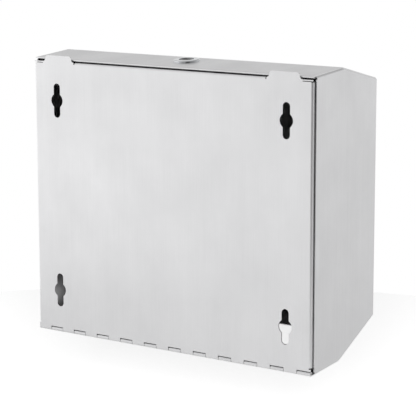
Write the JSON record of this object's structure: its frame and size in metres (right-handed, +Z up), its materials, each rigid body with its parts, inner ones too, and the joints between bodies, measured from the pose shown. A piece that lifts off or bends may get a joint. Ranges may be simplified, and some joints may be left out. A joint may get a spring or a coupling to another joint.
{
  "type": "paper towel dispenser",
  "caption": "Wall-mounted folded paper towel dispenser in satin stainless sheet, with a hinged locking cover and a towel outlet in its lower front slope.",
  "frame": {"origin": "centre of the back plate's rear face, on the wall", "axes": "+Y into the wall, -Y towards the front, +X along the dispenser's width, +Z up"},
  "size_m": [0.2826, 0.1016, 0.2455],
  "materials": {
    "plate_sheet": "satin",
    "cover_sheet": "satin",
    "cheek_sheet": "satin",
    "pin_steel": "drawn",
    "lock_chrome": "polished",
    "zinc_steel": "zinc plated"
  },
  "bodies": {
    "back": {"back_plate": "plate_sheet", "hinge_pin": "pin_steel"},
    "cover": {"cover_wrap": "cover_sheet", "side_panel_left": "cheek_sheet", "side_panel_right": "cheek_sheet", "lock_body": "lock_chrome", "lock_washer": "zinc_steel", "lock_nut": "zinc_steel"},
    "lock_core": {"lock_plug": "lock_chrome", "stop_washer": "zinc_steel", "lock_cam": "zinc_steel", "cam_screw": "zinc_steel"}
  },
  "joints": [
    {"name": "cover_hinge", "type": "hinge", "parent": "back", "child": "cover", "pos_m": [0, -0.00185, -0.1174], "axis": [1, 0, 0], "range_deg": [0, 90]},
    {"name": "lock_turn", "type": "hinge", "parent": "cover", "child": "lock_core", "pos_m": [0, -0.029, 0.124], "axis": [0, 0.0735, 0.9973], "range_deg": [0, 90]}
  ]
}
